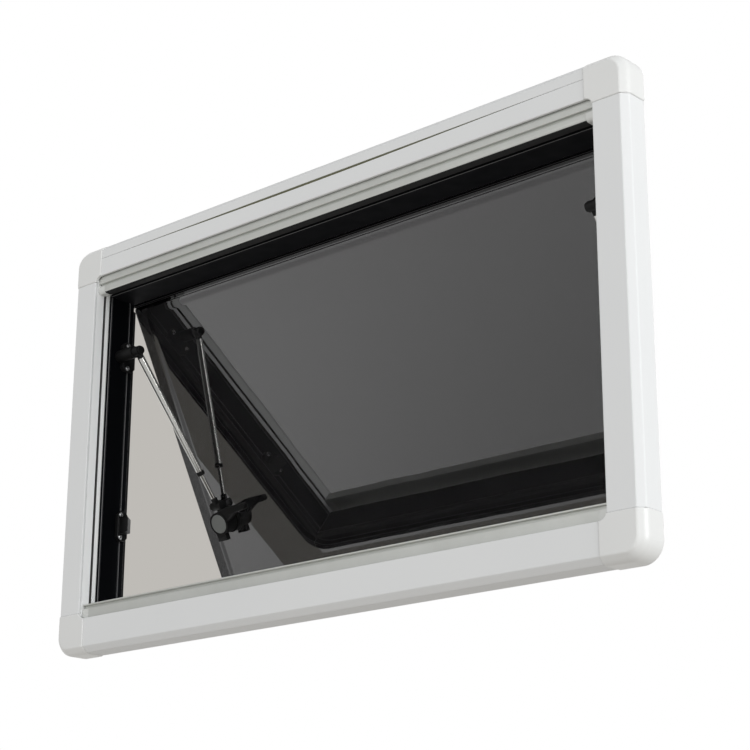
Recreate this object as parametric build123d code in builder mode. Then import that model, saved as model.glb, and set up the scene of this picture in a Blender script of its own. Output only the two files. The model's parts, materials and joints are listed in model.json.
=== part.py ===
"""Top-hung camper window, open on its stays.

X runs across the window, Y points outdoors and Z up. The origin lies on the face
of the bottom outer flange that bears on the outside of the wall.
"""

import math
import os

from build123d import *

os.makedirs("parts", exist_ok=True)

# Clear opening between the jambs, and the wall that the two frames clamp
opening_width = 698
opening_height = 396
wall_thickness = 27
seat_clearance = 0.3

# Outer frame: collar through the wall, flange on it, rim round the sash
collar_wall = 5.5
collar_past_wall = 7
flange_width = 23
flange_thickness = 3
flange_corner_radius = 24
rim_wall = 4
rim_height = 8
rim_gap = 5
head_drop = 18
head_wall = 2
head_setback = 1
jamb_rib_width = 1.6
jamb_rib_height = 0.6
jamb_rib_setback = 3
screw_channel_width = 1.6
screw_channel_depth = 0.8
screw_channel_setback = 6

# Inner frame: a C section open towards the wall
inner_depth = 30
face_width = 38
face_chamfer = 7
face_wall = 2
frame_corner_radius = 21
opening_corner_radius = 8
lip_depth = 3.7
lip_wall = 1.6
corner_reach = 9
corner_reach_side = 6
spigot_length = 20
spigot_width = 8
spigot_depth = 8
cover_height = 19.6
cover_slit = 0.6
cover_rebate = 6
rebate_wall = 1.6

# Guide rails with one groove for the bars of both blinds
rail_width = 14
rail_wall = 1.4
rail_past_opening = 9
groove_start = 10.9
groove_width = 3

# Pull bars and their end caps, the grooves measured from the lower edge
bar_height = 26
bar_front_gap = 1.8
flyscreen_bar_overlap = 20
flyscreen_bar_groove = 8.4
blind_bar_overlap = 16.2
blind_bar_groove = 20.7
bar_groove_height = 3.7
bar_groove_depth = 3.5
bar_front_radius = 4
bar_rear_radius = 3
bar_wall = 1.5
cap_length = 10
cap_tongue = 9
cap_tongue_height = 7
bar_end_gap = 0.5

# Blind rollers in the top and bottom of the inner frame
roller_radius = 9
roller_from_front = 16
roller_from_edge = 15
journal_radius = 4
bearing_wall = 3
bearing_inset = 4
bearing_past_opening = 10
roller_end_gap = 1.2

# Sash: two panes of acrylic, each with a raised field
sash_angle = 27.2
sash_overlap = 11
hinge_below_opening = 8
pane_inset = 2
outer_pane_thickness = 3.5
inner_pane_thickness = 2.5
pane_corner_radius = 25
pane_top_radius = 4
field_height = 5
outer_field_height = 6
field_margin = 17
field_slope = 18
field_top = 13
field_base_radius = 26
field_radius = 14
bead_radius = 4
bead_clearance = 0.4
socket_wall = 2.6
socket_end_gap = 4
socket_mouth = (-112, -18)
clamp_wall = 1.8
clamp_depth = 3.4
clamp_web = 3
clamp_start = 7.5

# Rubber seal between flange and sash
seal_width = 6
seal_height = 4.5
seal_setback = 1
seal_top_gap = 26
seal_round = 2

# Latches on the sash, and the strikers that they hook behind
latch_from_edge = 50.4
latch_drop = 276.5
latch_base_radius = 15
latch_base_height = 4.5
hub_radius = 13.4
hub_height = 17
hub_gap = 0.3
spindle_radius = 5
latch_cap_radius = 11.2
latch_cap_depth = 1.6
latch_cap_crown = 0.4
lever_length = 43
lever_rise = 13.6
lever_tip_radius = 3.8
lever_shoulder = 16
lever_shoulder_round = 30
lever_heel = 12.8
lever_neck = 31
lever_neck_drop = 0.6
lever_neck_round = 14
lever_thickness = 6.5
lever_setback = 0.6
lever_edge = 1
nose_reach = 20.5
nose_width = 14
nose_offset = 3
nose_thickness = 6
nose_lift = 9.5
striker_drop = 284.8
striker_height = 34
striker_plate = 5.5
striker_depth = 14
striker_reach = 20
striker_back_reach = 10.5
striker_catch_depth = 12.3
striker_catch_height = 16

# Telescopic stays
stay_inset = 31
pivot_drop = 86
pivot_from_face = 18.5
foot_rise = 19
foot_lift = 11.5
eye_radius = 5.5
eye_width = 9
pin_radius = 2.6
pin_clearance = 0.3
pin_head_radius = 4.6
pin_head = 2
eye_shank = 9
shank_sides = 6
tube_radius = 4
tube_length = 149
rod_radius = 2.5
rod_in_tube = 70
slide_clearance = 0.3
ferrule_radius = 4.8
ferrule_length = 5
neck_radius = 3.8
neck_length = 5.5
knuckle_radius = 4.8
knuckle_width = 10
foot_pin_radius = 2
ear_wall = 2.8
ear_gap = 0.3
ear_chamfer = 2.5
bracket_plate = 5.5
bracket_height = 34
bracket_depth = 18
boss_radius = 7
plate_corner = 4

# Places worked out from the sizes above
half_width = opening_width / 2
half_height = opening_height / 2
collar_half_width = half_width + collar_wall
collar_half_height = half_height + collar_wall
flange_half_width = collar_half_width + flange_width
flange_half_height = collar_half_height + flange_width
center_z = collar_half_height + flange_width / 2
top_z = center_z + half_height
bottom_z = center_z - half_height
frame_half_width = half_width + face_width
frame_half_height = half_height + face_width
front_y = -wall_thickness - inner_depth
collar_front = -wall_thickness - collar_past_wall
lip_back = front_y + lip_depth
corner_x = half_width - corner_reach
corner_height = half_height - corner_reach_side
rail_depth = collar_front - lip_back


def across(y):
    """Plane through y as seen from the room, centred on the window."""
    return Plane(origin=(0, y, center_z), x_dir=(1, 0, 0), z_dir=(0, -1, 0))


def save(piece, name):
    """Name a finished piece and write it."""
    piece.part.label = name
    export_step(piece.part, f"parts/{name}.step")


def save_pair(piece, name):
    """Write a piece of the left side and its mirror image."""
    save(piece, f"left_{name}")
    with BuildPart() as opposite:
        mirror(piece.part, about=Plane.YZ)
    save(opposite, f"right_{name}")


# Inner frame as one hollow ring, which the profiles and corners are cut from
cavity_chamfer = face_chamfer - face_wall * (2 - math.sqrt(2))
with BuildPart() as frame_cavity:
    with BuildSketch(across(front_y + face_wall)):
        RectangleRounded(
            2 * (frame_half_width - face_wall),
            2 * (frame_half_height - face_wall),
            frame_corner_radius - face_wall,
        )
    extrude(amount=-inner_depth)
    chamfer(frame_cavity.faces().sort_by(Axis.Y)[0].edges(), cavity_chamfer)
    with BuildSketch(across(front_y)):
        RectangleRounded(
            opening_width + 2 * lip_wall,
            opening_height + 2 * lip_wall,
            opening_corner_radius + lip_wall,
        )
    extrude(amount=-lip_depth, mode=Mode.SUBTRACT)

with BuildPart() as frame_ring:
    with BuildSketch(across(front_y)):
        RectangleRounded(2 * frame_half_width, 2 * frame_half_height, frame_corner_radius)
    extrude(amount=-inner_depth)
    chamfer(frame_ring.faces().sort_by(Axis.Y)[0].edges(), face_chamfer)
    with BuildSketch(across(front_y)):
        RectangleRounded(opening_width, opening_height, opening_corner_radius)
    extrude(amount=-inner_depth, mode=Mode.SUBTRACT)
    add(frame_cavity.part, mode=Mode.SUBTRACT)

# Straight profiles, the top one with a rebate that carries the cassette cover
cover_top = half_height + cover_height
with BuildPart() as top_profile:
    add(frame_ring.part)
    with BuildSketch(across(front_y)):
        with Locations((0, cover_top + cover_slit)):
            Rectangle(2 * corner_x, face_width, align=(Align.CENTER, Align.MIN))
    extrude(amount=-inner_depth, mode=Mode.INTERSECT)
    with BuildSketch(across(front_y + face_wall)):
        with Locations((0, cover_top)):
            Rectangle(2 * corner_x, 2 * cover_rebate)
    extrude(amount=-rebate_wall)
save(top_profile, "inner_frame_top_profile")

with BuildPart() as cassette_cover:
    add(frame_ring.part)
    with BuildSketch(across(front_y)):
        with Locations((0, half_height)):
            Rectangle(2 * corner_x, cover_height, align=(Align.CENTER, Align.MIN))
    extrude(amount=-inner_depth, mode=Mode.INTERSECT)
save(cassette_cover, "cassette_cover")

with BuildPart() as bottom_profile:
    add(frame_ring.part)
    with BuildSketch(across(front_y)):
        with Locations((0, -half_height)):
            Rectangle(2 * corner_x, face_width, align=(Align.CENTER, Align.MAX))
    extrude(amount=-inner_depth, mode=Mode.INTERSECT)
save(bottom_profile, "inner_frame_bottom_profile")

with BuildPart() as side_profile:
    add(frame_ring.part)
    with BuildSketch(across(front_y)):
        with Locations((-half_width, 0)):
            Rectangle(face_width, 2 * corner_height, align=(Align.MAX, Align.CENTER))
    extrude(amount=-inner_depth, mode=Mode.INTERSECT)
save_pair(side_profile, "side_profile")

# Moulded corner pieces, each with a spigot into the side profile
spigot_x = frame_half_width - face_wall - cavity_chamfer - seat_clearance - spigot_width / 2
for level, up in (("top", 1), ("bottom", -1)):
    with BuildPart() as corner_piece:
        add(frame_ring.part)
        with BuildSketch(across(front_y)):
            with Locations((-corner_x, up * corner_height)):
                Rectangle(
                    2 * face_width,
                    2 * face_width,
                    align=(Align.MAX, Align.MIN if up > 0 else Align.MAX),
                )
        extrude(amount=-inner_depth, mode=Mode.INTERSECT)
        with BuildSketch(across(front_y + face_wall)):
            with Locations((-spigot_x, up * corner_height)):
                Rectangle(spigot_width, 2 * spigot_length)
        extrude(amount=-spigot_depth)
    save_pair(corner_piece, f"{level}_corner")

# Guide rails: a groove for the bars between two hollow chambers
with BuildPart() as guide_rail:
    with BuildSketch(Plane.XY.offset(bottom_z - rail_past_opening)):
        with Locations((-half_width, lip_back)):
            Rectangle(rail_width, rail_depth, align=(Align.MAX, Align.MIN))
        with Locations((-half_width, lip_back + groove_start)):
            Rectangle(
                rail_width - rail_wall,
                groove_width,
                align=(Align.MAX, Align.MIN),
                mode=Mode.SUBTRACT,
            )
        chambers = (
            (lip_back, groove_start),
            (lip_back + groove_start + groove_width, rail_depth - groove_start - groove_width),
        )
        for chamber_y, chamber_depth in chambers:
            with Locations((-half_width - rail_wall, chamber_y + rail_wall)):
                Rectangle(
                    rail_width - 2 * rail_wall,
                    chamber_depth - 2 * rail_wall,
                    align=(Align.MAX, Align.MIN),
                    mode=Mode.SUBTRACT,
                )
    extrude(amount=opening_height + 2 * rail_past_opening)
save_pair(guide_rail, "guide_rail")

# Pull bars: a hollow section with a groove along the front. The end caps close the band below
# the groove and run in the rails
bar_front = lip_back + bar_front_gap
bar_rear = lip_back + groove_start + groove_width
bar_depth = bar_rear - bar_front
bar_end = half_width - bar_end_gap
flyscreen_bar_low = top_z - flyscreen_bar_overlap
blind_bar_low = bottom_z + blind_bar_overlap - bar_height
bars = (
    ("flyscreen", flyscreen_bar_low, flyscreen_bar_groove),
    ("blind", blind_bar_low, blind_bar_groove),
)
for bar_name, bar_low, band_height in bars:
    with BuildSketch() as bar_outline:
        with Locations((bar_front, bar_low)):
            Rectangle(bar_depth, bar_height, align=(Align.MIN, Align.MIN))
        low_corners = bar_outline.vertices().group_by(Axis.Y)[0].sort_by(Axis.X)
        fillet(low_corners[0], bar_front_radius)
        low_corners = bar_outline.vertices().group_by(Axis.Y)[0].sort_by(Axis.X)
        fillet(low_corners[-1], bar_rear_radius)
        with Locations((bar_front, bar_low + band_height)):
            Rectangle(
                bar_groove_depth,
                bar_groove_height,
                align=(Align.MIN, Align.MIN),
                mode=Mode.SUBTRACT,
            )

    with BuildSketch() as band_outline:
        add(bar_outline.sketch)
        with Locations((bar_front, bar_low)):
            Rectangle(bar_depth, band_height, align=(Align.MIN, Align.MIN), mode=Mode.INTERSECT)

    with BuildPart() as pull_bar:
        with BuildSketch(Plane.YZ):
            add(bar_outline.sketch)
        extrude(amount=bar_end, both=True)
        with BuildSketch(Plane.YZ):
            add(band_outline.sketch)
        extrude(amount=bar_end, both=True, mode=Mode.SUBTRACT)
        with BuildSketch(Plane.YZ):
            add(band_outline.sketch)
        extrude(amount=bar_end - cap_length, both=True)
        with BuildSketch(Plane.YZ):
            with Locations((bar_front + bar_groove_depth + bar_wall, bar_low + bar_wall)):
                Rectangle(
                    bar_depth - bar_groove_depth - 2 * bar_wall,
                    bar_height - 2 * bar_wall,
                    align=(Align.MIN, Align.MIN),
                )
        extrude(amount=bar_end, both=True, mode=Mode.SUBTRACT)
    save(pull_bar, f"{bar_name}_pull_bar")

    with BuildPart() as end_caps:
        with BuildSketch(Plane.YZ):
            add(band_outline.sketch)
        extrude(amount=bar_end, both=True)
        with BuildSketch(Plane.YZ):
            with Locations((bar_rear - seat_clearance, bar_low + band_height / 2)):
                Rectangle(
                    groove_width - 2 * seat_clearance,
                    cap_tongue_height,
                    align=(Align.MAX, Align.CENTER),
                )
        extrude(amount=bar_end + cap_tongue, both=True)
        with BuildSketch(Plane.YZ):
            with Locations((bar_front, bar_low)):
                Rectangle(4 * bar_height, 4 * bar_height)
        extrude(amount=bar_end - cap_length, both=True, mode=Mode.SUBTRACT)
    save(end_caps, f"{bar_name}_bar_end_caps")

# Rollers of the flyscreen and the blind, each between two bearing plates
roller_y = front_y + roller_from_front
bearing_x = corner_x + bearing_inset
for roller_name, up in (("flyscreen", 1), ("blind", -1)):
    roller_plane = Plane(
        origin=(0, roller_y, center_z + up * (frame_half_height - roller_from_edge)),
        x_dir=(0, 1, 0),
        z_dir=(1, 0, 0),
    )
    with BuildPart() as roller:
        with BuildSketch(roller_plane):
            Circle(roller_radius)
        extrude(amount=bearing_x - roller_end_gap, both=True)
        with BuildSketch(roller_plane):
            Circle(journal_radius)
        extrude(amount=bearing_x + bearing_wall, both=True)
    save(roller, f"{roller_name}_roller")

    with BuildPart() as bearings:
        with BuildSketch(Plane.YZ) as bearing_outline:
            with Locations((front_y + face_wall, center_z + up * (half_height + bearing_past_opening))):
                Rectangle(
                    roller_from_front - face_wall + roller_radius,
                    face_width - face_wall - bearing_past_opening,
                    align=(Align.MIN, Align.MIN if up > 0 else Align.MAX),
                )
            front_corners = bearing_outline.vertices().group_by(Axis.X)[0].sort_by(Axis.Y)
            chamfer(front_corners[-1 if up > 0 else 0], cavity_chamfer)
        extrude(amount=bearing_x + bearing_wall, both=True)
        with BuildSketch(roller_plane):
            Circle(journal_radius + seat_clearance)
        extrude(amount=bearing_x + bearing_wall, both=True, mode=Mode.SUBTRACT)
        with BuildSketch(Plane.YZ):
            with Locations((roller_y, center_z + up * frame_half_height)):
                Rectangle(4 * face_width, 4 * face_width)
        extrude(amount=bearing_x, both=True, mode=Mode.SUBTRACT)
    save(bearings, f"{roller_name}_roller_bearings")

# Outer frame as one ring, which is cut at 45 degrees into its four lengths
rim_half_width = half_width + sash_overlap + rim_gap
rim_half_height = half_height + sash_overlap + rim_gap
with BuildPart() as outer_ring:
    with BuildSketch(across(0)):
        RectangleRounded(2 * flange_half_width, 2 * flange_half_height, flange_corner_radius)
    extrude(amount=-flange_thickness)
    with BuildSketch(across(collar_front)):
        RectangleRounded(2 * collar_half_width, 2 * collar_half_height, collar_wall)
    extrude(amount=collar_front)
    with BuildSketch(across(flange_thickness)):
        RectangleRounded(
            2 * (rim_half_width + rim_wall),
            2 * (rim_half_height + rim_wall),
            pane_corner_radius + rim_gap + rim_wall,
        )
        RectangleRounded(
            2 * rim_half_width,
            2 * rim_half_height,
            pane_corner_radius + rim_gap,
            mode=Mode.SUBTRACT,
        )
    extrude(amount=-rim_height)
    with BuildSketch(across(collar_front)):
        Rectangle(opening_width, opening_height)
    extrude(amount=collar_front - flange_thickness, mode=Mode.SUBTRACT)

mitre_reach = 2 * (collar_wall + flange_width)
ring_depth = rim_height + flange_thickness - collar_front
head_edge = half_height - head_drop

with BuildPart() as jamb:
    add(outer_ring.part)
    with BuildSketch(across(collar_front)):
        with BuildLine():
            Polyline(
                (-half_width, half_height),
                (-half_width - mitre_reach, half_height + mitre_reach),
                (-half_width - mitre_reach, -half_height - mitre_reach),
                (-half_width, -half_height),
                close=True,
            )
        make_face()
    extrude(amount=-ring_depth, mode=Mode.INTERSECT)
    with BuildSketch(across(collar_front + jamb_rib_setback)):
        with Locations((-half_width, -half_height)):
            Rectangle(jamb_rib_height, half_height + head_edge, align=(Align.MIN, Align.MIN))
    extrude(amount=-jamb_rib_width)
    with BuildSketch(across(flange_thickness - screw_channel_setback)):
        with Locations((-half_width, -half_height)):
            Rectangle(screw_channel_depth, half_height + head_edge, align=(Align.MAX, Align.MIN))
    extrude(amount=screw_channel_width, mode=Mode.SUBTRACT)
save_pair(jamb, "jamb")

with BuildPart() as sill:
    add(outer_ring.part)
    with BuildSketch(across(collar_front)):
        with BuildLine():
            Polyline(
                (-half_width, -half_height),
                (-half_width - mitre_reach, -half_height - mitre_reach),
                (half_width + mitre_reach, -half_height - mitre_reach),
                (half_width, -half_height),
                close=True,
            )
        make_face()
    extrude(amount=-ring_depth, mode=Mode.INTERSECT)
save(sill, "sill")

# Head of the outer frame: a box section under the collar, and the socket of the hinge
socket_radius = bead_radius + bead_clearance + socket_wall
hinge_y = flange_thickness + socket_radius
hinge_z = top_z - hinge_below_opening
head_front = collar_front + head_setback
with BuildPart() as head:
    add(outer_ring.part)
    with BuildSketch(across(collar_front)):
        with BuildLine():
            Polyline(
                (-half_width, half_height),
                (-half_width - mitre_reach, half_height + mitre_reach),
                (half_width + mitre_reach, half_height + mitre_reach),
                (half_width, half_height),
                close=True,
            )
        make_face()
    extrude(amount=-ring_depth, mode=Mode.INTERSECT)
    with BuildSketch(Plane.YZ):
        with Locations((head_front, top_z)):
            Rectangle(flange_thickness - head_front, head_drop, align=(Align.MIN, Align.MAX))
        with Locations((head_front + head_wall, top_z)):
            Rectangle(
                flange_thickness - head_front - 2 * head_wall,
                head_drop - head_wall,
                align=(Align.MIN, Align.MAX),
                mode=Mode.SUBTRACT,
            )
    extrude(amount=half_width, both=True)
    with BuildSketch(Plane.YZ):
        with Locations((hinge_y, hinge_z)):
            Circle(socket_radius)
            Rectangle(socket_radius, socket_radius, align=(Align.MAX, Align.MIN))
            Circle(bead_radius + bead_clearance, mode=Mode.SUBTRACT)
            with BuildLine():
                mouth = [PolarLine((hinge_y, hinge_z), 3 * socket_radius, angle) for angle in socket_mouth]
                Line(mouth[0] @ 1, mouth[1] @ 1)
            make_face(mode=Mode.SUBTRACT)
    extrude(amount=rim_half_width - socket_end_gap, both=True)
save(head, "head")

# Sash, drawn on a plane through the hinge axis that leans out with it
lean = math.radians(sash_angle)
outward = Vector(0, math.cos(lean), math.sin(lean))
down_pane = Vector(0, math.sin(lean), -math.cos(lean))
hinge_axis = Vector(0, hinge_y, hinge_z)
sash_plane = Plane(origin=hinge_axis, x_dir=(1, 0, 0), z_dir=outward)
sash_half_width = half_width + sash_overlap
sash_bottom = opening_height - hinge_below_opening + sash_overlap
pane_top = clamp_start + clamp_wall
glue_line = inner_pane_thickness - pane_inset


def on_sash(x, drop, lift):
    """Point at x, at a drop below the hinge and a lift from the inner pane into the room."""
    return Vector(x, 0, 0) + hinge_axis + down_pane * drop - outward * (pane_inset + lift)


with BuildSketch() as pane_outline:
    with Locations((0, pane_top)):
        Rectangle(2 * sash_half_width, sash_bottom - pane_top, align=(Align.CENTER, Align.MIN))
    fillet(pane_outline.vertices().group_by(Axis.Y)[0], pane_top_radius)
    fillet(pane_outline.vertices().group_by(Axis.Y)[-1], pane_corner_radius)

# Panes glued at their rims, each with a field raised away from the other
field_bottom = sash_bottom - field_margin
field_middle = (field_top + field_bottom) / 2
field_width = 2 * (sash_half_width - field_margin)
panes = (
    ("outer_pane", glue_line + outer_pane_thickness, outer_field_height),
    ("inner_pane", -pane_inset, -field_height),
)
for pane_name, skin_level, field_rise in panes:
    with BuildPart() as pane:
        with BuildSketch(sash_plane.offset(skin_level)):
            add(pane_outline.sketch)
        extrude(amount=glue_line - skin_level)
        for face_level, face_mode in ((skin_level, Mode.ADD), (glue_line, Mode.SUBTRACT)):
            with BuildSketch(sash_plane.offset(face_level)):
                with Locations((0, field_middle)):
                    RectangleRounded(field_width, field_bottom - field_top, field_base_radius)
            with BuildSketch(sash_plane.offset(face_level + field_rise)):
                with Locations((0, field_middle)):
                    RectangleRounded(
                        field_width - 2 * field_slope,
                        field_bottom - field_top - 2 * field_slope,
                        field_radius,
                    )
            loft(mode=face_mode)
    save(pane, pane_name)

# Hinge profile: a bead in the socket and an angle that the top of the panes is glued into
section_plane = Plane(origin=hinge_axis, x_dir=down_pane, z_dir=(1, 0, 0))
pane_stack = inner_pane_thickness + outer_pane_thickness
with BuildPart() as hinge_profile:
    with BuildSketch(section_plane):
        Circle(bead_radius)
        Rectangle(clamp_start + clamp_wall, clamp_web, align=(Align.MIN, Align.CENTER))
        with Locations((clamp_start, -pane_inset)):
            Rectangle(clamp_wall + clamp_depth, pane_stack + clamp_wall, align=(Align.MIN, Align.MIN))
        with Locations((pane_top, -pane_inset)):
            Rectangle(clamp_depth, pane_stack, align=(Align.MIN, Align.MIN), mode=Mode.SUBTRACT)
    extrude(amount=sash_half_width, both=True)
save(hinge_profile, "sash_hinge_profile")

# Seal round the sides and the bottom of the opening
seal_inner_width = half_width + seal_setback
seal_inner_height = half_height + seal_setback
with BuildPart() as seal:
    with BuildSketch(across(flange_thickness)):
        Rectangle(2 * (seal_inner_width + seal_width), 2 * (seal_inner_height + seal_width))
        Rectangle(2 * seal_inner_width, 2 * seal_inner_height, mode=Mode.SUBTRACT)
        with Locations((0, half_height - seal_top_gap)):
            Rectangle(
                4 * half_width,
                4 * half_height,
                align=(Align.CENTER, Align.MIN),
                mode=Mode.SUBTRACT,
            )
    extrude(amount=-seal_height)
    fillet(seal.faces().sort_by(Axis.Y)[-1].edges().filter_by(GeomType.LINE), seal_round)
save(seal, "sash_seal")

# Stays: where the upper pivot and the foot are
stay_x = -half_width + stay_inset
stay_pivot = Vector(stay_x, flange_thickness - pivot_from_face, top_z - pivot_drop)
stay_foot = on_sash(stay_x, latch_drop - foot_rise, foot_lift)
stay_run = stay_foot - stay_pivot
stay_length = stay_run.length
stay_plane = Plane(origin=stay_pivot, x_dir=(1, 0, 0), z_dir=stay_run)
pivot_plane = Plane(origin=stay_pivot, x_dir=(0, 1, 0), z_dir=(1, 0, 0))
foot_plane = Plane(origin=stay_foot, x_dir=(0, 1, 0), z_dir=(1, 0, 0))
tube_end = eye_shank + tube_length
rod_end = stay_length - knuckle_radius - neck_length
rod_bore = rod_radius + slide_clearance

with BuildPart() as stay_eye:
    with BuildSketch(pivot_plane):
        Circle(eye_radius)
    extrude(amount=eye_width / 2, both=True)
    with BuildSketch(stay_plane):
        RegularPolygon(tube_radius, shank_sides)
    extrude(amount=eye_shank)
    with BuildSketch(pivot_plane):
        Circle(pin_radius + pin_clearance)
    extrude(amount=eye_width / 2, both=True, mode=Mode.SUBTRACT)
save_pair(stay_eye, "stay_eye")

with BuildPart() as stay_tube:
    with BuildSketch(stay_plane.offset(eye_shank)):
        Circle(tube_radius)
        Circle(rod_bore, mode=Mode.SUBTRACT)
    extrude(amount=tube_length)
save_pair(stay_tube, "stay_tube")

with BuildPart() as stay_ferrule:
    with BuildSketch(stay_plane.offset(tube_end)):
        Circle(ferrule_radius)
        Circle(rod_bore, mode=Mode.SUBTRACT)
    extrude(amount=ferrule_length)
save_pair(stay_ferrule, "stay_ferrule")

with BuildPart() as stay_rod:
    with BuildSketch(stay_plane.offset(tube_end - rod_in_tube)):
        Circle(rod_radius)
    extrude(amount=rod_end - tube_end + rod_in_tube)
save_pair(stay_rod, "stay_rod")

with BuildPart() as stay_foot_end:
    with BuildSketch(foot_plane):
        Circle(knuckle_radius)
    extrude(amount=knuckle_width / 2, both=True)
    with BuildSketch(stay_plane.offset(rod_end)):
        RegularPolygon(neck_radius, shank_sides)
    extrude(amount=neck_length + knuckle_radius)
    with BuildSketch(foot_plane):
        Circle(foot_pin_radius + pin_clearance)
    extrude(amount=knuckle_width / 2, both=True, mode=Mode.SUBTRACT)
save_pair(stay_foot_end, "stay_foot")

# Bracket on the jamb with the boss and the pin of the upper pivot
with BuildPart() as stay_bracket:
    with BuildSketch(Plane.YZ.offset(-half_width)):
        with Locations((flange_thickness, top_z - pivot_drop)):
            plate = Rectangle(bracket_depth, bracket_height, align=(Align.MAX, Align.CENTER))
        chamfer(plate.vertices(), plate_corner)
    extrude(amount=bracket_plate)
    boss_end = -eye_width / 2 - ear_gap
    with BuildSketch(pivot_plane.offset(-stay_inset)):
        Circle(boss_radius)
    extrude(amount=boss_end + stay_inset)
    with BuildSketch(pivot_plane.offset(boss_end)):
        Circle(pin_radius)
    extrude(amount=eye_width + 2 * ear_gap)
    with BuildSketch(pivot_plane.offset(-boss_end)):
        Circle(pin_head_radius)
    extrude(amount=pin_head)
save_pair(stay_bracket, "stay_bracket")

# Latches on the raised field: base with the ears of the stay's foot, lever, and cap
latch_x = -sash_half_width + latch_from_edge
latch_plane = Plane(
    origin=on_sash(latch_x, latch_drop, field_height), x_dir=(1, 0, 0), z_dir=-outward
)
foot_x = stay_x - latch_x
foot_height = foot_lift - field_height
ear_x = knuckle_width / 2 + ear_gap
ear_plane = Plane(origin=stay_foot, x_dir=-down_pane, z_dir=(1, 0, 0))
with BuildPart() as latch_base:
    with BuildSketch(latch_plane):
        Circle(latch_base_radius)
    extrude(amount=latch_base_height)
    with BuildSketch(latch_plane):
        with Locations((foot_x, 0)):
            Rectangle(
                2 * (ear_x + ear_wall),
                foot_rise + knuckle_radius,
                align=(Align.CENTER, Align.MIN),
            )
    extrude(amount=foot_height - knuckle_radius - ear_gap)
    for ear_side in (-1, 1):
        ear_start = ear_x if ear_side > 0 else -ear_x - ear_wall
        with BuildSketch(ear_plane.offset(ear_start)) as ear_outline:
            with Locations((0, -foot_height)):
                Rectangle(
                    2 * knuckle_radius,
                    foot_height + knuckle_radius,
                    align=(Align.CENTER, Align.MIN),
                )
            chamfer(ear_outline.vertices().group_by(Axis.Y)[-1], ear_chamfer)
        extrude(amount=ear_wall)
    with BuildSketch(foot_plane):
        Circle(foot_pin_radius)
    extrude(amount=ear_x, both=True)
    with BuildSketch(latch_plane.offset(latch_base_height)):
        Circle(spindle_radius)
    extrude(amount=hub_height / 2)
save_pair(latch_base, "latch_base")

hub_plane = latch_plane.offset(latch_base_height + hub_gap)
with BuildPart() as latch_lever:
    with BuildSketch(hub_plane.offset(hub_height - lever_setback)):
        with BuildLine():
            tip_top = (lever_length, lever_rise + lever_tip_radius)
            tip_low = (lever_length, lever_rise - lever_tip_radius)
            FilletPolyline(
                (0, hub_radius),
                (lever_shoulder, lever_rise + lever_tip_radius - lever_neck_drop),
                tip_top,
                radius=lever_shoulder_round,
            )
            ThreePointArc(tip_top, (lever_length + lever_tip_radius, lever_rise), tip_low)
            FilletPolyline(
                tip_low,
                (lever_neck, lever_rise - lever_tip_radius - lever_neck_drop),
                (lever_heel, 0),
                radius=lever_neck_round,
            )
            Polyline((lever_heel, 0), (0, 0), (0, hub_radius))
        make_face()
    extrude(amount=-lever_thickness)
    lever_face = latch_lever.faces().sort_by(Axis(hub_plane.origin, hub_plane.z_dir))[-1]
    chamfer(lever_face.edges().sort_by(Axis.X)[1:], lever_edge)
    with BuildSketch(hub_plane):
        Circle(hub_radius)
    extrude(amount=hub_height)
    with BuildSketch(hub_plane.offset(nose_lift)):
        with Locations((-nose_offset, 0)):
            Rectangle(nose_width, nose_reach, align=(Align.CENTER, Align.MAX))
    extrude(amount=nose_thickness)
    with BuildSketch(hub_plane):
        Circle(spindle_radius + seat_clearance)
    extrude(amount=hub_height / 2 + seat_clearance, mode=Mode.SUBTRACT)
    with BuildSketch(hub_plane.offset(hub_height)):
        Circle(latch_cap_radius)
    extrude(amount=-latch_cap_depth, mode=Mode.SUBTRACT)
save_pair(latch_lever, "latch_lever")

with BuildPart() as latch_cap:
    with BuildSketch(hub_plane.offset(hub_height - latch_cap_depth)):
        Circle(latch_cap_radius - seat_clearance / 2)
    extrude(amount=latch_cap_depth + latch_cap_crown)
save_pair(latch_cap, "latch_cap")

# Strikers on the jambs: a plate, and a wedge that the nose hooks behind
striker_z = top_z - striker_drop
with BuildPart() as striker:
    with BuildSketch(Plane.YZ.offset(-half_width)):
        with Locations((flange_thickness, striker_z)):
            striker_face = Rectangle(striker_depth, striker_height, align=(Align.MAX, Align.CENTER))
        chamfer(striker_face.vertices(), plate_corner)
    extrude(amount=striker_plate)
    with BuildSketch(Plane.XY.offset(striker_z - striker_catch_height / 2)):
        with BuildLine():
            Polyline(
                (-half_width, flange_thickness),
                (-half_width + striker_back_reach, flange_thickness),
                (-half_width + striker_reach, flange_thickness - striker_catch_depth),
                (-half_width, flange_thickness - striker_catch_depth),
                close=True,
            )
        make_face()
    extrude(amount=striker_catch_height)
save_pair(striker, "latch_striker")

print("latch pivot", latch_plane.origin, "towards the room", latch_plane.z_dir)
print("stay length", round(stay_length, 2), "hinge", hinge_axis)
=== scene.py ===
import json
import math

import bmesh
import bpy
import numpy as np
from mathutils import Matrix, Vector


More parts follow.
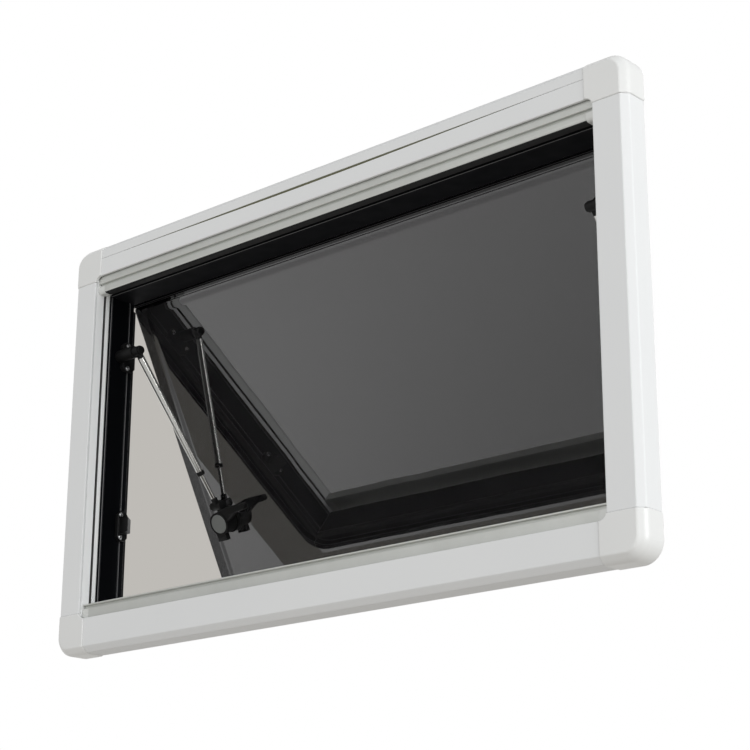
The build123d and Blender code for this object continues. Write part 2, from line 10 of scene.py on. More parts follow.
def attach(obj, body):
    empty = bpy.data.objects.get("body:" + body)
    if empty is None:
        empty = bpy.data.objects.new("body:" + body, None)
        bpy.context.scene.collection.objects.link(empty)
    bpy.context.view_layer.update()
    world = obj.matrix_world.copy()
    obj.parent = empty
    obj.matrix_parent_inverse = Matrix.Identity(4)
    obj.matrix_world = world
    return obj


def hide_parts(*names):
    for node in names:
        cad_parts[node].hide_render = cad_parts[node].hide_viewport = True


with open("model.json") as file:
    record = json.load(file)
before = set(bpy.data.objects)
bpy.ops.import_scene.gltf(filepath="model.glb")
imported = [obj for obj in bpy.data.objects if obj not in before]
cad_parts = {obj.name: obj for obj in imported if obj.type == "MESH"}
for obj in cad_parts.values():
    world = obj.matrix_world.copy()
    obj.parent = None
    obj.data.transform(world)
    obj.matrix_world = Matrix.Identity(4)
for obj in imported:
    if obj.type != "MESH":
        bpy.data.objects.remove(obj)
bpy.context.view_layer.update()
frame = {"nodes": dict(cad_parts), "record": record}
nodes = frame["nodes"]
record = frame["record"]
bodyOf = {node: body for body, group in record["behaviour"]["bodies"].items() for node in group}
slotOf = {part["node"]: part["material_slot"] for part in record["subparts"]}
print("frame loaded:", len(nodes), "nodes")

# camera at the photo's viewing angle: below the window and to its right
view = {
    "place": (1.2487, -1.3460, -0.3582),
    "yaw": 42.03,
    "pitch": 18.0,
    "roll": 0.17,
    "sensor": 36.0,
    "lens": 90.50,
    "shift": (-0.0026, -0.0052),
}


def makeCamera():
    yaw, pitch, roll = (math.radians(view[name]) for name in ("yaw", "pitch", "roll"))
    level = Vector((-math.sin(yaw), math.cos(yaw), 0.0))
    right = Vector((math.cos(yaw), math.sin(yaw), 0.0))
    ahead = math.cos(pitch) * level + math.sin(pitch) * Vector((0, 0, 1))
    above = right.cross(ahead)
    side = math.cos(roll) * right + math.sin(roll) * above
    above = side.cross(ahead)
    data = bpy.data.cameras.new("camera")
    data.sensor_fit = "HORIZONTAL"
    data.sensor_width = view["sensor"]
    data.lens = view["lens"]
    data.shift_x, data.shift_y = view["shift"]
    data.clip_end = 60.0
    camera = bpy.data.objects.new("camera", data)
    camera.matrix_world = Matrix.Translation(view["place"]) @ Matrix(
        (side, above, -ahead)
    ).transposed().to_4x4()
    bpy.context.scene.collection.objects.link(camera)
    bpy.context.scene.camera = camera


makeCamera()
bpy.context.scene.view_settings.view_transform = "Standard"
print("camera set")


def wire(tree, fromNode, fromSocket, toNode, toSocket):
    tree.links.new(fromNode.outputs[fromSocket], toNode.inputs[toSocket])


def addNode(tree, kind, **settings):
    made = tree.nodes.new(kind)
    for name, value in settings.items():
        setattr(made, name, value)
    return made


def newGroup(name, inputs, outputs):
    group = bpy.data.node_groups.new(name, "ShaderNodeTree")
    for label, kind, value in inputs:
        socket = group.interface.new_socket(label, in_out="INPUT", socket_type=kind)
        socket.default_value = value
    for label in outputs:
        group.interface.new_socket(label, in_out="OUTPUT", socket_type="NodeSocketFloat")
    enter = group.nodes.new("NodeGroupInput")
    leave = group.nodes.new("NodeGroupOutput")
    return group, enter, leave


def makeGrainGroup():
    # fine noise for the height of a moulded or coated skin, and slow noise for patches of tone
    group, enter, leave = newGroup(
        "skinGrain",
        [("Grain Scale", "NodeSocketFloat", 900.0), ("Drift Scale", "NodeSocketFloat", 9.0)],
        ["Height", "Drift"],
    )
    place = addNode(group, "ShaderNodeTexCoord")
    fine = addNode(group, "ShaderNodeTexNoise")
    fine.inputs["Detail"].default_value = 2.0
    slow = addNode(group, "ShaderNodeTexNoise")
    slow.inputs["Detail"].default_value = 4.0
    slow.inputs["Roughness"].default_value = 0.62
    wire(group, place, "Object", fine, "Vector")
    wire(group, place, "Object", slow, "Vector")
    wire(group, enter, "Grain Scale", fine, "Scale")
    wire(group, enter, "Drift Scale", slow, "Scale")
    wire(group, fine, "Fac", leave, "Height")
    wire(group, slow, "Fac", leave, "Drift")
    return group


def makeLinesGroup():
    # noise drawn out along one axis, as on an extruded or drawn length
    group, enter, leave = newGroup(
        "drawnLines", [("Stretch", "NodeSocketVector", (3.0, 700.0, 700.0))], ["Lines"]
    )
    place = addNode(group, "ShaderNodeTexCoord")
    scaled = addNode(group, "ShaderNodeVectorMath", operation="MULTIPLY")
    noise = addNode(group, "ShaderNodeTexNoise")
    noise.inputs["Scale"].default_value = 1.0
    noise.inputs["Detail"].default_value = 3.0
    wire(group, place, "Object", scaled, 0)
    wire(group, enter, "Stretch", scaled, 1)
    wire(group, scaled, 0, noise, "Vector")
    wire(group, noise, "Fac", leave, "Lines")
    return group


def makeWearGroup():
    # mask of the convex edges, broken up by noise
    group, enter, leave = newGroup(
        "edgeWear",
        [
            ("From", "NodeSocketFloat", 0.52),
            ("To", "NodeSocketFloat", 0.6),
            ("Breakup", "NodeSocketFloat", 60.0),
        ],
        ["Edge"],
    )
    shape = addNode(group, "ShaderNodeNewGeometry")
    edge = addNode(group, "ShaderNodeMapRange", clamp=True)
    place = addNode(group, "ShaderNodeTexCoord")
    noise = addNode(group, "ShaderNodeTexNoise")
    noise.inputs["Detail"].default_value = 5.0
    worn = addNode(group, "ShaderNodeMath", operation="MULTIPLY")
    wire(group, shape, "Pointiness", edge, "Value")
    wire(group, enter, "From", edge, "From Min")
    wire(group, enter, "To", edge, "From Max")
    wire(group, place, "Object", noise, "Vector")
    wire(group, enter, "Breakup", noise, "Scale")
    wire(group, edge, 0, worn, 0)
    wire(group, noise, "Fac", worn, 1)
    wire(group, worn, 0, leave, "Edge")
    return group


def makeDustGroup():
    # mask of what faces up, in thin uneven patches
    group, enter, leave = newGroup(
        "settledDust",
        [("Amount", "NodeSocketFloat", 0.2), ("Patch Scale", "NodeSocketFloat", 35.0)],
        ["Dust"],
    )
    shape = addNode(group, "ShaderNodeNewGeometry")
    split = addNode(group, "ShaderNodeSeparateXYZ")
    up = addNode(group, "ShaderNodeMapRange", clamp=True)
    up.inputs["From Min"].default_value = 0.35
    place = addNode(group, "ShaderNodeTexCoord")
    noise = addNode(group, "ShaderNodeTexNoise")
    noise.inputs["Detail"].default_value = 6.0
    patches = addNode(group, "ShaderNodeMath", operation="MULTIPLY")
    dust = addNode(group, "ShaderNodeMath", operation="MULTIPLY")
    wire(group, shape, "Normal", split, 0)
    wire(group, split, "Z", up, "Value")
    wire(group, place, "Object", noise, "Vector")
    wire(group, enter, "Patch Scale", noise, "Scale")
    wire(group, up, 0, patches, 0)
    wire(group, noise, "Fac", patches, 1)
    wire(group, patches, 0, dust, 0)
    wire(group, enter, "Amount", dust, 1)
    wire(group, dust, 0, leave, "Dust")
    return group


grainGroup = makeGrainGroup()
linesGroup = makeLinesGroup()
wearGroup = makeWearGroup()
dustGroup = makeDustGroup()
print("shared shader groups made")


def placeGroup(tree, group, **values):
    made = addNode(tree, "ShaderNodeGroup", node_tree=group)
    for label, value in values.items():
        made.inputs[label.replace("_", " ")].default_value = value
    return made


def mixColor(tree, mask, socket, first, second):
    # first is an output socket or a colour, second a colour
    mix = addNode(tree, "ShaderNodeMix", data_type="RGBA")
    tree.links.new(mask.outputs[socket], mix.inputs["Factor"])
    if isinstance(first, tuple):
        mix.inputs["A"].default_value = (*first, 1)
    else:
        tree.links.new(first, mix.inputs["A"])
    mix.inputs["B"].default_value = (*second, 1)
    return mix.outputs["Result"]


def makeFinish(name, look):
    # patches of tone, drawn lines, worn edges and dust over one base colour, on a Principled surface
    made = bpy.data.materials.new(name)
    made.use_nodes = True
    tree = made.node_tree
    surface = tree.nodes["Principled BSDF"]
    for label, value in look.get("plain", {}).items():
        surface.inputs[label].default_value = value
    grain = placeGroup(tree, grainGroup, Grain_Scale=look["grain"][0], Drift_Scale=look["drift"])
    color = mixColor(tree, grain, "Drift", look["color"], look["patch"])
    if "edge" in look:
        wear = placeGroup(tree, wearGroup)
        color = mixColor(tree, wear, "Edge", color, look["edge"])
    if "dust" in look:
        dust = placeGroup(tree, dustGroup, Amount=look["dust"][3])
        color = mixColor(tree, dust, "Dust", color, look["dust"][:3])
    tree.links.new(color, surface.inputs["Base Color"])
    rough = addNode(tree, "ShaderNodeMapRange")
    rough.inputs["From Min"].default_value = 0.3
    rough.inputs["From Max"].default_value = 0.7
    rough.inputs["To Min"].default_value = look["rough"][0]
    rough.inputs["To Max"].default_value = look["rough"][1]
    wire(tree, grain, "Drift", rough, "Value")
    wire(tree, rough, 0, surface, "Roughness")
    bump = addNode(tree, "ShaderNodeBump")
    bump.inputs["Distance"].default_value = look["grain"][1]
    wire(tree, grain, "Height", bump, "Height")
    if "lines" in look:
        lines = placeGroup(tree, linesGroup, Stretch=look["lines"][0])
        second = addNode(tree, "ShaderNodeBump")
        second.inputs["Distance"].default_value = look["lines"][1]
        wire(tree, lines, "Lines", second, "Height")
        wire(tree, bump, "Normal", second, "Normal")
        bump = second
    wire(tree, bump, "Normal", surface, "Normal")
    return made


acrossLines = (2.5, 420.0, 420.0)
uprightLines = (420.0, 420.0, 2.5)
whiteCoat = {
    "color": (0.742, 0.752, 0.757),
    "patch": (0.772, 0.779, 0.780),
    "drift": 7.0,
    "rough": (0.48, 0.60),
    "grain": (1300.0, 0.000012),
    "dust": (0.60, 0.59, 0.55, 0.35),
}
finishes = {
    "whiteAcross": {**whiteCoat, "lines": (acrossLines, 0.00002)},
    "whiteUpright": {**whiteCoat, "lines": (uprightLines, 0.00002)},
    "whiteCorner": {
        **whiteCoat, "color": (0.752, 0.757, 0.748), "patch": (0.782, 0.785, 0.777), "rough": (0.26, 0.36),
        "grain": (800.0, 0.00002),
    },
    # the rails' own white, raised above the frame's white as painted light against the shade of their recess
    "whiteRailPaintedLight": {
        **whiteCoat, "color": (0.90, 0.91, 0.91), "patch": (0.93, 0.94, 0.94),
        "lines": (uprightLines, 0.00003),
    },
    # painted shade for the faces inside the rails' grooves
    "railShade": {
        "color": (0.16, 0.16, 0.155), "patch": (0.2, 0.2, 0.195), "drift": 15.0, "rough": (0.5, 0.6),
        "grain": (1200.0, 0.00002),
    },
    "greyBar": {
        "color": (0.55, 0.56, 0.53), "patch": (0.61, 0.62, 0.59), "drift": 11.0, "rough": (0.32, 0.42),
        "grain": (1700.0, 0.00001), "lines": ((2.0, 800.0, 800.0), 0.00003), "edge": (0.7, 0.71, 0.69),
        "dust": (0.62, 0.61, 0.57, 0.4), "plain": {"Metallic": 0.3},
    },
    "paleCap": {
        "color": (0.60, 0.61, 0.59), "patch": (0.66, 0.67, 0.65), "drift": 25.0, "rough": (0.36, 0.48),
        "grain": (1500.0, 0.00003), "edge": (0.74, 0.74, 0.72),
    },
    "slitShade": {
        "color": (0.10, 0.10, 0.05), "patch": (0.13, 0.13, 0.07), "drift": 15.0, "rough": (0.5, 0.6),
        "grain": (1200.0, 0.00002),
    },
    "rollerMetal": {
        "color": (0.42, 0.42, 0.43), "patch": (0.5, 0.5, 0.51), "drift": 14.0, "rough": (0.3, 0.45),
        "grain": (1500.0, 0.00002), "lines": ((2.0, 600.0, 600.0), 0.00003), "plain": {"Metallic": 0.8},
    },
    "bearingPlastic": {
        "color": (0.55, 0.55, 0.53), "patch": (0.6, 0.6, 0.57), "drift": 20.0, "rough": (0.42, 0.55),
        "grain": (1200.0, 0.00004),
    },
    "blackCoat": {
        "color": (0.001, 0.0012, 0.0018), "patch": (0.0018, 0.0022, 0.003), "drift": 12.0,
        "rough": (0.5, 0.62), "grain": (1500.0, 0.00002), "edge": (0.02, 0.02, 0.022),
        "dust": (0.05, 0.048, 0.044, 0.3), "plain": {"Specular IOR Level": 0.035},
    },
    # lighter colour for the cut edges of the black frame: a painted highlight
    "blackEdgeHighlight": {
        "color": (0.11, 0.11, 0.114), "patch": (0.13, 0.13, 0.134), "drift": 40.0, "rough": (0.28, 0.38),
        "grain": (1500.0, 0.00001),
    },
    "sealRubber": {
        "color": (0.006, 0.006, 0.006), "patch": (0.01, 0.01, 0.0095), "drift": 18.0, "rough": (0.6, 0.75),
        "grain": (900.0, 0.00006), "dust": (0.08, 0.077, 0.07, 0.5), "plain": {"Specular IOR Level": 0.3},
    },
    "blackPlastic": {
        "color": (0.0022, 0.0022, 0.0023), "patch": (0.004, 0.004, 0.004), "drift": 40.0,
        "rough": (0.4, 0.52), "grain": (2200.0, 0.00004), "edge": (0.03, 0.03, 0.03),
        "dust": (0.05, 0.048, 0.044, 0.25), "plain": {"Specular IOR Level": 0.18},
    },
    "stayChrome": {
        "color": (0.74, 0.73, 0.70), "patch": (0.82, 0.81, 0.78), "drift": 30.0, "rough": (0.12, 0.22),
        "grain": (2500.0, 0.000004), "lines": ((900.0, 40.0, 40.0), 0.00001), "plain": {"Metallic": 1.0},
    },
    "greyCap": {
        "color": (0.13, 0.137, 0.132), "patch": (0.17, 0.178, 0.172), "drift": 90.0, "rough": (0.42, 0.52),
        "grain": (2600.0, 0.00005), "edge": (0.26, 0.27, 0.26),
    },
    "screwSteel": {
        "color": (0.30, 0.30, 0.30), "patch": (0.4, 0.4, 0.4), "drift": 300.0, "rough": (0.2, 0.34),
        "grain": (3000.0, 0.00001), "plain": {"Metallic": 1.0},
    },
}
materials = {name: makeFinish(name, look) for name, look in finishes.items()}


# skin of the sheets: scale and depth of the waves, scale of the wipe marks and range of roughness
sheetSkin = {"waves": 11.0, "waveDepth": 0.00012, "marks": 22.0, "rough": (0.008, 0.035)}
# the field's index stands for the reflections of all faces between the two sheets
acrylic = {
    "tintedAcrylic": {"color": (0.0088, 0.0086, 0.0088), "ior": 1.49},
    "tintedField": {"color": (0.0088, 0.0086, 0.0088), "ior": 2.03},
    "tintedGlue": {"color": (0.0088, 0.0086, 0.0088), "ior": 1.0},
    "clearAcrylic": {"color": (0.95, 0.955, 0.96), "ior": 1.49},
    "clearGlue": {"color": (1.0, 1.0, 1.0), "ior": 1.0},
}


def makeAcrylic(name, look):
    # sheet with long shallow waves and faint wipe marks; a glued face has no step in the index
    made = bpy.data.materials.new(name)
    made.use_nodes = True
    tree = made.node_tree
    surface = tree.nodes["Principled BSDF"]
    surface.inputs["Base Color"].default_value = (*look["color"], 1)
    surface.inputs["Transmission Weight"].default_value = 1.0
    surface.inputs["IOR"].default_value = look["ior"]
    grain = placeGroup(tree, grainGroup, Grain_Scale=sheetSkin["waves"], Drift_Scale=sheetSkin["marks"])
    rough = addNode(tree, "ShaderNodeMapRange")
    rough.inputs["From Min"].default_value = 0.35
    rough.inputs["From Max"].default_value = 0.75
    rough.inputs["To Min"].default_value = sheetSkin["rough"][0]
    rough.inputs["To Max"].default_value = sheetSkin["rough"][1]
    wire(tree, grain, "Drift", rough, "Value")
    wire(tree, rough, 0, surface, "Roughness")
    bump = addNode(tree, "ShaderNodeBump")
    bump.inputs["Distance"].default_value = sheetSkin["waveDepth"]
    wire(tree, grain, "Height", bump, "Height")
    wire(tree, bump, "Normal", surface, "Normal")
    return made


for name, look in acrylic.items():
    materials[name] = makeAcrylic(name, look)
slotFinish = {
    "white_profile": "whiteAcross",
    "white_corner": "whiteCorner",
    "white_rail": "whiteRailPaintedLight",
    "grey_bar": "greyBar",
    "pale_cap": "paleCap",
    "roller_metal": "rollerMetal",
    "bearing_plastic": "bearingPlastic",
    "black_frame": "blackCoat",
    "tinted_acrylic": "tintedAcrylic",
    "seal_rubber": "sealRubber",
    "black_plastic": "blackPlastic",
    "stay_chrome": "stayChrome",
    "grey_cap": "greyCap",
}
for part in record["subparts"]:
    piece = nodes[part["node"]]
    piece.data.materials.clear()
    piece.data.materials.append(materials[slotFinish[part["material_slot"]]])
print("finishes set on", len(record["subparts"]), "nodes")


def keepPiece(name, mesh, material, body, replaced=()):
    mesh.materials.clear()
    mesh.materials.append(materials[material])
    piece = bpy.data.objects.new(name, mesh)
    bpy.context.scene.collection.objects.link(piece)
    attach(piece, body)
    if replaced:
        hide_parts(*replaced)
    even = piece.modifiers.new("evenNormals", "WEIGHTED_NORMAL")
    even.keep_sharp = True
    return piece


def gridFaces(rows, columns, closeRows=False, closeColumns=False):
    # four-sided faces between neighbours of a grid of rows by columns
    a, b = np.meshgrid(
        np.arange(rows if closeRows else rows - 1),
        np.arange(columns if closeColumns else columns - 1),
        indexing="ij",
    )
    nextA, nextB = (a + 1) % rows, (b + 1) % columns
    corners = (a * columns + b, a * columns + nextB, nextA * columns + nextB, nextA * columns + b)
    return np.stack(corners, axis=-1).reshape(-1, 4).tolist()


def closedMesh(name, points, faces, sharpAngle):
    mesh = bpy.data.meshes.new(name)
    mesh.from_pydata(points.reshape(-1, 3).tolist(), [], faces)
    work = bmesh.new()
    work.from_mesh(mesh)
    bmesh.ops.recalc_face_normals(work, faces=work.faces)
    work.to_mesh(mesh)
    work.free()
    mesh.shade_smooth()
    mesh.set_sharp_from_angle(angle=math.radians(sharpAngle))
    return mesh


def softLoop(corners, cuts, steps, hold=1.3):
    # closed outline: each corner becomes a quadratic curve that starts and ends one cut away from it, and
    # one more point on both sides of the curve, hold cuts away, keeps the flats plain
    corners = np.array(corners, float)
    cuts = np.array(cuts, float)[:, None]
    before = np.roll(corners, 1, axis=0) - corners
    after = np.roll(corners, -1, axis=0) - corners
    before *= cuts / np.linalg.norm(before[:, :2], axis=1)[:, None]
    after *= cuts / np.linalg.norm(after[:, :2], axis=1)[:, None]
    t = np.linspace(0, 1, steps)[None, :, None]
    curve = corners[:, None] + (1 - t) ** 2 * before[:, None] + t**2 * after[:, None]
    flats = [(corners + hold * toward)[:, None] for toward in (before, after)]
    return np.concatenate([flats[0], curve, flats[1]], axis=1).reshape(-1, corners.shape[1])


# white inner frame: a C section with soft edges, carried along straight lengths and round the corners
inner = {
    "halfWidth": 0.387,
    "halfHeight": 0.236,
    "middleZ": 0.215,
    "front": -0.057,
    "rear": -0.027,
    "face": 0.038,
    "chamfer": 0.007,
    "cornerRadius": 0.021,
    "openingRadius": 0.008,
    "lipBack": -0.0533,
    "lipWall": 0.0016,
    "wall": 0.002,
    "seamX": 0.340,
    "seamHeight": 0.192,
    "drawnIn": 0.0009,
    "seamDepth": 0.0004,
    "seamLength": 0.0004,
    "cornerSeam": 0.0013,
    "seamSteps": (0.0, 0.25, 0.6, 1.0, 1.5),
    "seamShares": (1.0, 0.42, 0.1, 0.0, 0.0),
    "edges": (0.0014, 0.0008),
    "cornerEdges": (0.0040, 0.0011),
    "coverHeight": 0.0206,
    "slit": 0.0002,
    "rebate": 0.006,
    "rebateWall": 0.0016,
    "coverBow": 0.0024,
    "coverBend": 0.012,
    "lipCuts": (0.0009, 0.0004),
    "wallCut": 0.0005,
    "backCut": 0.0003,
    "rebateCut": 0.0002,
    "coverCut": 0.0006,
    "curveSteps": 5,
    "cornerSteps": 24,
}


def frameSection(edges, sunk=0.0, drawn=0.0):
    # outline as (distance in from the outer edge, y, corner radius); sunk draws all of the visible skin in
    # at a seam, drawn its front and outer faces, and edges are how far the chamfer's two edges are rounded
    s = inner
    skin = sunk + drawn
    slope = skin * math.tan(math.pi / 8)
    chamferBack = s["wall"] * (2 - math.sqrt(2))
    wallFront = s["front"] + s["wall"]
    corners = [
        (skin, s["rear"], s["cornerRadius"]),
        (skin, s["front"] + s["chamfer"] + slope, s["cornerRadius"]),
        (s["chamfer"] + slope, s["front"] + skin, s["cornerRadius"] - s["chamfer"]),
        (s["face"] - sunk, s["front"] + skin, s["openingRadius"]),
        (s["face"] - sunk, s["lipBack"], s["openingRadius"]),
        (s["face"] - s["lipWall"], s["lipBack"], s["openingRadius"] + s["lipWall"]),
        (s["face"] - s["lipWall"], wallFront, s["openingRadius"] + s["lipWall"]),
        (s["wall"] + s["chamfer"] - chamferBack, wallFront, s["cornerRadius"] - s["chamfer"]),
        (s["wall"], wallFront + s["chamfer"] - chamferBack, s["cornerRadius"] - s["wall"]),
        (s["wall"], s["rear"], s["cornerRadius"] - s["wall"]),
    ]
    back, wall = s["backCut"], s["wallCut"]
    cuts = [back, *edges, *s["lipCuts"], back, back, wall, wall, back]
    return softLoop(corners, cuts, s["curveSteps"])


def topSection(sunk=0.0):
    # the top length ends at the slit and carries the rebate strip behind it
    s = inner
    skin = sunk + s["drawnIn"]
    slope = skin * math.tan(math.pi / 8)
    chamferBack = s["wall"] * (2 - math.sqrt(2))
    wallFront = s["front"] + s["wall"]
    slitTop = s["face"] - s["coverHeight"] - s["slit"]
    coverTop = s["face"] - s["coverHeight"]
    strip = wallFront + s["rebateWall"]
    corners = [
        (skin, s["rear"], 0),
        (skin, s["front"] + s["chamfer"] + slope, 0),
        (s["chamfer"] + slope, s["front"] + skin, 0),
        (slitTop, s["front"] + skin, 0),
        (slitTop, wallFront, 0),
        (coverTop + s["rebate"], wallFront, 0),
        (coverTop + s["rebate"], strip, 0),
        (coverTop - s["rebate"], strip, 0),
        (coverTop - s["rebate"], wallFront, 0),
        (s["wall"] + s["chamfer"] - chamferBack, wallFront, 0),
        (s["wall"], wallFront + s["chamfer"] - chamferBack, 0),
        (s["wall"], s["rear"], 0),
    ]
    back, wall = s["backCut"], s["wallCut"]
    cuts = [back, *s["edges"], wall, *[s["rebateCut"]] * 5, wall, wall, back]
    return softLoop(corners, cuts, s["curveSteps"])


def coverSection(sunk=0.0):
    # the cover runs from the slit to the opening and turns back there
    s = inner
    wallFront = s["front"] + s["wall"]
    coverTop = s["face"] - s["coverHeight"]
    skin = sunk + s["drawnIn"]
    corners = [
        (coverTop, s["front"] + skin, 0),
        (s["face"] - sunk, s["front"] + skin, 0),
        (s["face"] - sunk, s["lipBack"], 0),
        (s["face"] - s["lipWall"], s["lipBack"], 0),
        (s["face"] - s["lipWall"], wallFront, 0),
        (coverTop, wallFront, 0),
    ]
    cuts = [s["coverCut"], *s["lipCuts"], *[s["backCut"]] * 3]
    return softLoop(corners, cuts, s["curveSteps"])


def lengthStations(half, between):
    # places along a straight length, with a short sunk stretch at both ends for the seam
    gap = inner["seamLength"]
    inside = np.linspace(-half + gap, half - gap, between)
    places = np.concatenate(([-half], inside, [half]))
    sunk = np.zeros(len(places))
    sunk[[0, -1]] = 1
    return places, sunk


def carrySection(name, whole, sunkSection, places, sunk, locate, sharpAngle=40):
    # section points at every station, closed round the section, with both ends capped
    share = sunk[:, None, None]
    sections = (1 - share) * whole[None] + share * sunkSection[None]
    points = locate(sections, places[:, None])
    rows, columns = points.shape[:2]
    faces = gridFaces(rows, columns, closeColumns=True)
    faces.append(list(range(columns)))
    faces.append(list(range((rows - 1) * columns, rows * columns)))
    return closedMesh(name, points, faces, sharpAngle)


def acrossAt(up):
    # a length across the window, above or below the opening
    def locate(sections, places):
        z = inner["middleZ"] + up * (inner["halfHeight"] - sections[..., 0])
        return np.stack([places + 0 * z, sections[..., 1], z], axis=-1)
    return locate


def uprightAt(side):
    def locate(sections, places):
        x = side * (inner["halfWidth"] - sections[..., 0])
        return np.stack([x, sections[..., 1], inner["middleZ"] + places + 0 * x], axis=-1)
    return locate


def bowedCover(sections, places):
    # the cover's upper edge sags away from the slit towards the middle
    sag = inner["coverBow"] * np.cos(np.clip(places / inner["seamX"], -1, 1) * math.pi / 2) ** 2
    top = inner["face"] - inner["coverHeight"]
    near = np.clip(1 - (sections[..., 0] - top) / inner["coverBend"], 0, 1)
    inward = sections[..., 0] + sag * near
    z = inner["middleZ"] + inner["halfHeight"] - inward
    return np.stack([places + 0 * z, sections[..., 1], z], axis=-1)


def cornerMesh(name, side, up):
    # each section point runs up the side, round an arc of its own radius and along the top or bottom, with a
    # rounded edge at both seams that stands proud of the lengths
    whole = frameSection(inner["cornerEdges"])
    sunk = frameSection(inner["cornerEdges"], inner["seamDepth"], inner["drawnIn"])
    fromSeam = np.array(inner["seamSteps"]) * inner["cornerSeam"]
    ends = np.array(inner["seamShares"])
    share = np.concatenate([ends, np.zeros(inner["cornerSteps"]), ends[::-1]])
    sections = (1 - share)[:, None, None] * whole[None] + share[:, None, None] * sunk[None]
    inward, y, radius = sections[..., 0], sections[..., 1], sections[..., 2]
    centerX = inner["halfWidth"] - inward - radius
    centerZ = inner["halfHeight"] - inward - radius
    first = np.arcsin(np.clip((inner["seamHeight"] + fromSeam[-1] - centerZ) / radius, 0, 1))
    turn = np.concatenate([0 * ends, np.linspace(0, 1, inner["cornerSteps"]), 0 * ends + 1])[:, None]
    angle = first + turn * (math.pi / 2 - first)
    x = centerX + radius * np.cos(angle)
    z = centerZ + radius * np.sin(angle)
    z[:len(ends)] = inner["seamHeight"] + fromSeam[:, None]
    x[-len(ends):] = inner["seamX"] + fromSeam[::-1, None]
    points = np.stack([side * x, y, inner["middleZ"] + up * z], axis=-1)
    rows, columns = points.shape[:2]
    faces = gridFaces(rows, columns, closeColumns=True)
    faces.append(list(range(columns)))
    faces.append(list(range((rows - 1) * columns, rows * columns)))
    return closedMesh(name, points, faces, 40)


def makeInnerFrame():
    s = inner
    plain = frameSection(s["edges"], 0, s["drawnIn"])
    sunkPlain = frameSection(s["edges"], s["seamDepth"], s["drawnIn"])
    places, sunk = lengthStations(s["seamX"], 3)
    top = carrySection("topLength", topSection(), topSection(s["seamDepth"]), places, sunk, acrossAt(1))
    keepPiece("topLength", top, "whiteAcross", "window", ["inner_frame_top_profile"])
    # the strip behind the slit, from the section's corner four to five, gets a dark finish: painted shade
    top.materials.append(materials["slitShade"])
    perCorner = s["curveSteps"] + 2
    inSlit = np.zeros((len(places) - 1, 12 * perCorner), dtype=np.int32)
    inSlit[:, 4 * perCorner:5 * perCorner] = 1
    top.polygons.foreach_set("material_index", np.append(inSlit.reshape(-1), [0, 0]))
    low = carrySection("bottomLength", plain, sunkPlain, places, sunk, acrossAt(-1))
    keepPiece("bottomLength", low, "whiteAcross", "window", ["inner_frame_bottom_profile"])
    places, sunk = lengthStations(s["seamX"], 41)
    whole, sunkEnd = coverSection(), coverSection(s["seamDepth"])
    cover = carrySection("cassetteCover", whole, sunkEnd, places, sunk, bowedCover)
    keepPiece("cassetteCover", cover, "whiteAcross", "window", ["cassette_cover"])
    places, sunk = lengthStations(s["seamHeight"], 3)
    for sideName, side in (("left", -1), ("right", 1)):
        name = f"{sideName}Length"
        upright = carrySection(name, plain, sunkPlain, places, sunk, uprightAt(side))
        keepPiece(name, upright, "whiteUpright", "window", [f"{sideName}_side_profile"])
        for levelName, up in (("top", 1), ("bottom", -1)):
            name = f"{sideName}{levelName.title()}Corner"
            corner = cornerMesh(name, side, up)
            node = f"{sideName}_{levelName}_corner"
            keepPiece(name, corner, "whiteCorner", "window", [node])


makeInnerFrame()
print("inner frame lengths and corners made")

# panes glued at their rims, each a sheet with a raised field whose edge is a small step and a soft ramp
pane = {
    "hingeY": 0.010,
    "hingeZ": 0.405,
    "lean": math.radians(27.2),
    "inset": 0.002,
    "innerThickness": 0.0024,
    "outerFrom": 0.0025,
    "outerThickness": 0.0035,
    "halfWidth": 0.360,
    "top": 0.0093,
    "bottom": 0.399,
    "topRadius": 0.004,
    "bottomRadius": 0.025,
    "fieldTop": 0.0128,
    "fieldMargin": 0.017,
    "fieldHeight": 0.005,
    "outerFieldHeight": 0.006,
    "fieldRadius": 0.014,
    "step": 0.001,
    "stepShare": 0.76,
    "ramp": 0.012,
    "shoulder": 0.3,
}


def onSash(x, drop, lift):
    # place at x, at a drop below the hinge and a lift from the inner pane into the room
    away = pane["inset"] + lift
    y = pane["hingeY"] + drop * math.sin(pane["lean"]) - away * math.cos(pane["lean"])
    z = pane["hingeZ"] - drop * math.cos(pane["lean"]) - away * math.sin(pane["lean"])
    return np.stack([x, y, z], axis=-1)


def softRamp(t, shoulder):
    # straight ramp from 0 to 1 whose two ends are parabolas
    t = np.clip(t, 0, 1)
    low = t**2 / (2 * shoulder * (1 - shoulder))
    middle = (t - shoulder / 2) / (1 - shoulder)
    high = 1 - (1 - t) ** 2 / (2 * shoulder * (1 - shoulder))
    return np.where(t < shoulder, low, np.where(t > 1 - shoulder, high, middle))


